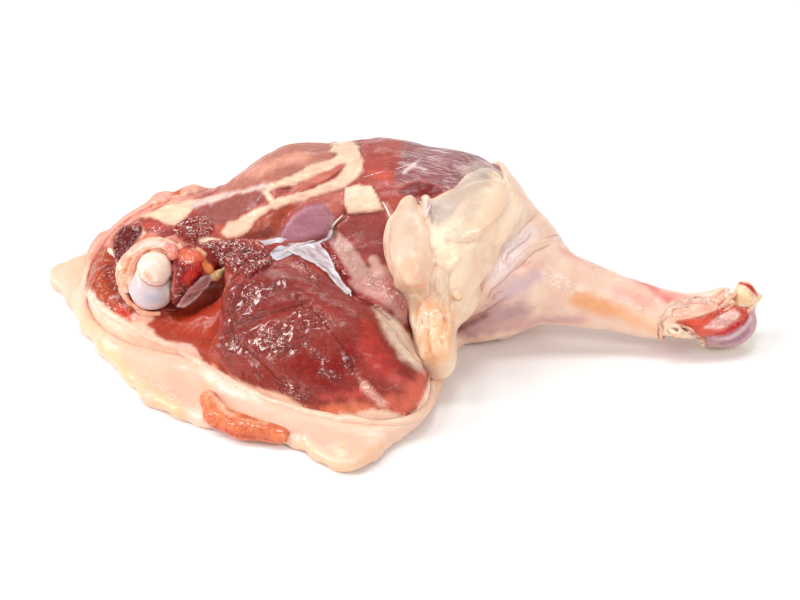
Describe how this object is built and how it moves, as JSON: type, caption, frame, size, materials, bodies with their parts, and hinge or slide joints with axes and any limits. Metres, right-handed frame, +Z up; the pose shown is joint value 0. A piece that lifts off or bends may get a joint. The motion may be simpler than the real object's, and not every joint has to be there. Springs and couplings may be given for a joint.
{
  "type": "raw duck leg",
  "caption": "Raw duck leg, thigh and drumstick in one piece, lying skin side down with the cut flesh, fat and bone ends up.",
  "frame": {"origin": "middle of the bounding box, on the surface that the leg lies on", "axes": "+X along the leg from the hip end towards the hock, -Y towards the trimmed flap of skin, +Z up"},
  "size_m": [0.191, 0.1022, 0.0457],
  "materials": {
    "skin": "moist raw skin with its fat, satin",
    "meat": "wet raw flesh, glossy",
    "fat": "raw fat, satin, slightly translucent",
    "bone": "wet cartilage on the joint ends, glossy"
  },
  "bodies": {
    "root": {"skin": "skin", "meat": "meat", "meat_strip": "meat", "knee_fat": "fat", "femur": "bone", "shin_bone": "bone"}
  },
  "joints": []
}
